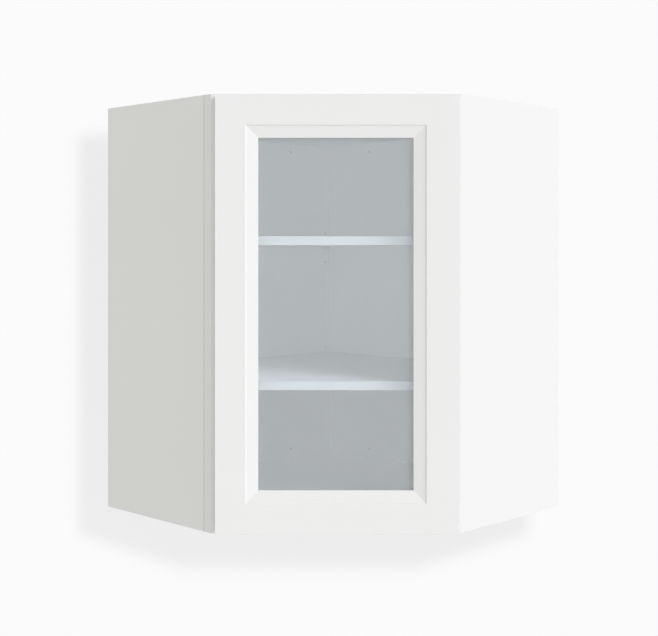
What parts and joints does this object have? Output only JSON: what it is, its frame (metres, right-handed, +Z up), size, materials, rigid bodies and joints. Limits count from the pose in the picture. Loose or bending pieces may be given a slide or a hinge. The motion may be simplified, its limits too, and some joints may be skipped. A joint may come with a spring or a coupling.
{
  "type": "corner wall cabinet",
  "caption": "White diagonal corner wall cabinet with a bevelled glass door on cup hinges and adjustable shelves inside.",
  "frame": {"origin": "bottom of the corner where the two walls meet, behind the cabinet", "axes": "+Z up; the left wall is the plane x = 0 and the right wall the plane y = 0; the door faces +X and -Y equally"},
  "size_m": [0.6188, 0.6188, 0.762],
  "materials": {
    "retainer": "white extrusion",
    "hardwood": "bare beech",
    "painted_inside": "white melamine",
    "door_paint": "white satin paint",
    "bumper": "translucent soft plastic",
    "glass": "clear, faintly blue",
    "painted_outside": "white satin paint",
    "gasket": "pale foam tape",
    "screw": "zinc plated",
    "back_panel": "white inside, bare plywood behind",
    "plywood": "bare birch plywood",
    "steel": "nickel plated",
    "shelf_board": "white melamine",
    "shelf_edging": "white edge strip",
    "shelf_pin": "moulded white"
  },
  "bodies": {
    "carcass": {"bottom_glue_blocks": "hardwood", "bottom_panel": "painted_inside", "face_frame_bottom_rail": "painted_outside", "face_frame_dowels": "hardwood", "face_frame_left_stile": "painted_outside", "face_frame_right_stile": "painted_outside", "face_frame_top_rail": "painted_outside", "hanging_rail_screws": "screw", "hinge_arm_screws": "screw", "left_back_panel": "back_panel", "left_corner_cleat": "plywood", "left_hanging_rail_bottom": "plywood", "left_hanging_rail_top": "plywood", "left_side_panel": "painted_outside", "lower_hinge_arm": "steel", "lower_shelf_pins": "shelf_pin", "right_back_panel": "back_panel", "right_corner_cleat": "plywood", "right_hanging_rail_bottom": "plywood", "right_hanging_rail_top": "plywood", "right_side_panel": "painted_outside", "top_glue_blocks": "hardwood", "top_panel": "painted_inside", "upper_hinge_arm": "steel", "upper_shelf_pins": "shelf_pin"},
    "door": {"bottom_glass_retainer": "retainer", "door_bottom_rail": "door_paint", "door_bumpers": "bumper", "door_dowels": "hardwood", "door_glass": "glass", "door_left_stile": "door_paint", "door_right_stile": "door_paint", "door_top_rail": "door_paint", "glass_gasket": "gasket", "hinge_cup_screws": "screw", "left_glass_retainer": "retainer", "lower_hinge_cup": "steel", "lower_hinge_pin": "steel", "lower_hinge_spring": "steel", "retainer_screws": "screw", "right_glass_retainer": "retainer", "top_glass_retainer": "retainer", "upper_hinge_cup": "steel", "upper_hinge_pin": "steel", "upper_hinge_spring": "steel"},
    "upper_shelf": {"upper_shelf": "shelf_board", "upper_shelf_edging": "shelf_edging"},
    "lower_shelf": {"lower_shelf": "shelf_board", "lower_shelf_edging": "shelf_edging"}
  },
  "joints": [
    {"name": "door_hinge", "type": "hinge", "parent": "carcass", "child": "door", "pos_m": [0.32279, -0.60698, 0.381], "axis": [0, 0, -1], "range_deg": [0, 105]},
    {"name": "upper_shelf_lift", "type": "slide", "parent": "carcass", "child": "upper_shelf", "axis": [0, 0, 1], "range_m": [0, 0.0405]},
    {"name": "lower_shelf_lift", "type": "slide", "parent": "carcass", "child": "lower_shelf", "axis": [0, 0, 1], "range_m": [0, 0.0405]}
  ]
}
